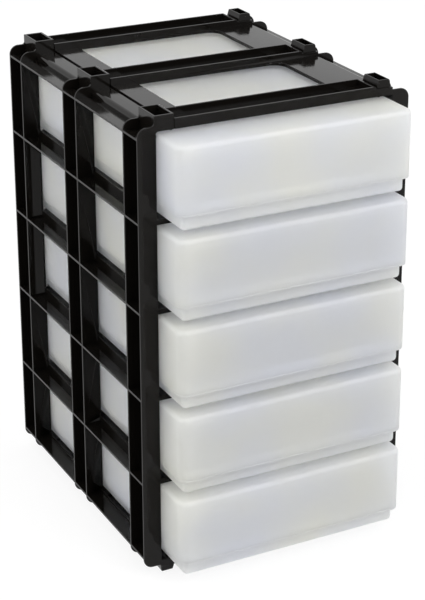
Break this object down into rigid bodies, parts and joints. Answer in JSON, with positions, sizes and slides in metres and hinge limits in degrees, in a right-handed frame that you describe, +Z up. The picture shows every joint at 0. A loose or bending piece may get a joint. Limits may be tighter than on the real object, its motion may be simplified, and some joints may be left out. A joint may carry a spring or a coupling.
{
  "type": "stackable drawer box",
  "caption": "Stackable black frame of two L-shaped halves with open sides, holding frosted closed cases that slide out to the front; plugs and sockets on its ends lock frames together.",
  "frame": {"origin": "on the floor plane under the feet, below the centre of the unit's bounding box", "axes": "+X to the right seen from the front, +Y from the drawer fronts to the back, +Z up"},
  "size_m": [0.2726, 0.3406, 0.4483],
  "materials": {
    "black_styrene": "glossy injection-moulded black polystyrene",
    "frosted_polypropylene": "translucent frosted polypropylene, soft satin sheen"
  },
  "bodies": {
    "frame": {"frame_left_and_bottom": "black_styrene", "frame_right_and_top": "black_styrene"},
    "drawer_1": {"drawer_1_tray": "frosted_polypropylene", "drawer_1_cover": "frosted_polypropylene"},
    "drawer_2": {"drawer_2_tray": "frosted_polypropylene", "drawer_2_cover": "frosted_polypropylene"},
    "drawer_3": {"drawer_3_tray": "frosted_polypropylene", "drawer_3_cover": "frosted_polypropylene"},
    "drawer_4": {"drawer_4_tray": "frosted_polypropylene", "drawer_4_cover": "frosted_polypropylene"},
    "drawer_5": {"drawer_5_tray": "frosted_polypropylene", "drawer_5_cover": "frosted_polypropylene"}
  },
  "joints": [
    {"name": "drawer_1_slide", "type": "slide", "parent": "frame", "child": "drawer_1", "axis": [0, -1, 0], "range_m": [0, 0.25]},
    {"name": "drawer_2_slide", "type": "slide", "parent": "frame", "child": "drawer_2", "axis": [0, -1, 0], "range_m": [0, 0.25]},
    {"name": "drawer_3_slide", "type": "slide", "parent": "frame", "child": "drawer_3", "axis": [0, -1, 0], "range_m": [0, 0.25]},
    {"name": "drawer_4_slide", "type": "slide", "parent": "frame", "child": "drawer_4", "axis": [0, -1, 0], "range_m": [0, 0.25]},
    {"name": "drawer_5_slide", "type": "slide", "parent": "frame", "child": "drawer_5", "axis": [0, -1, 0], "range_m": [0, 0.25]}
  ]
}
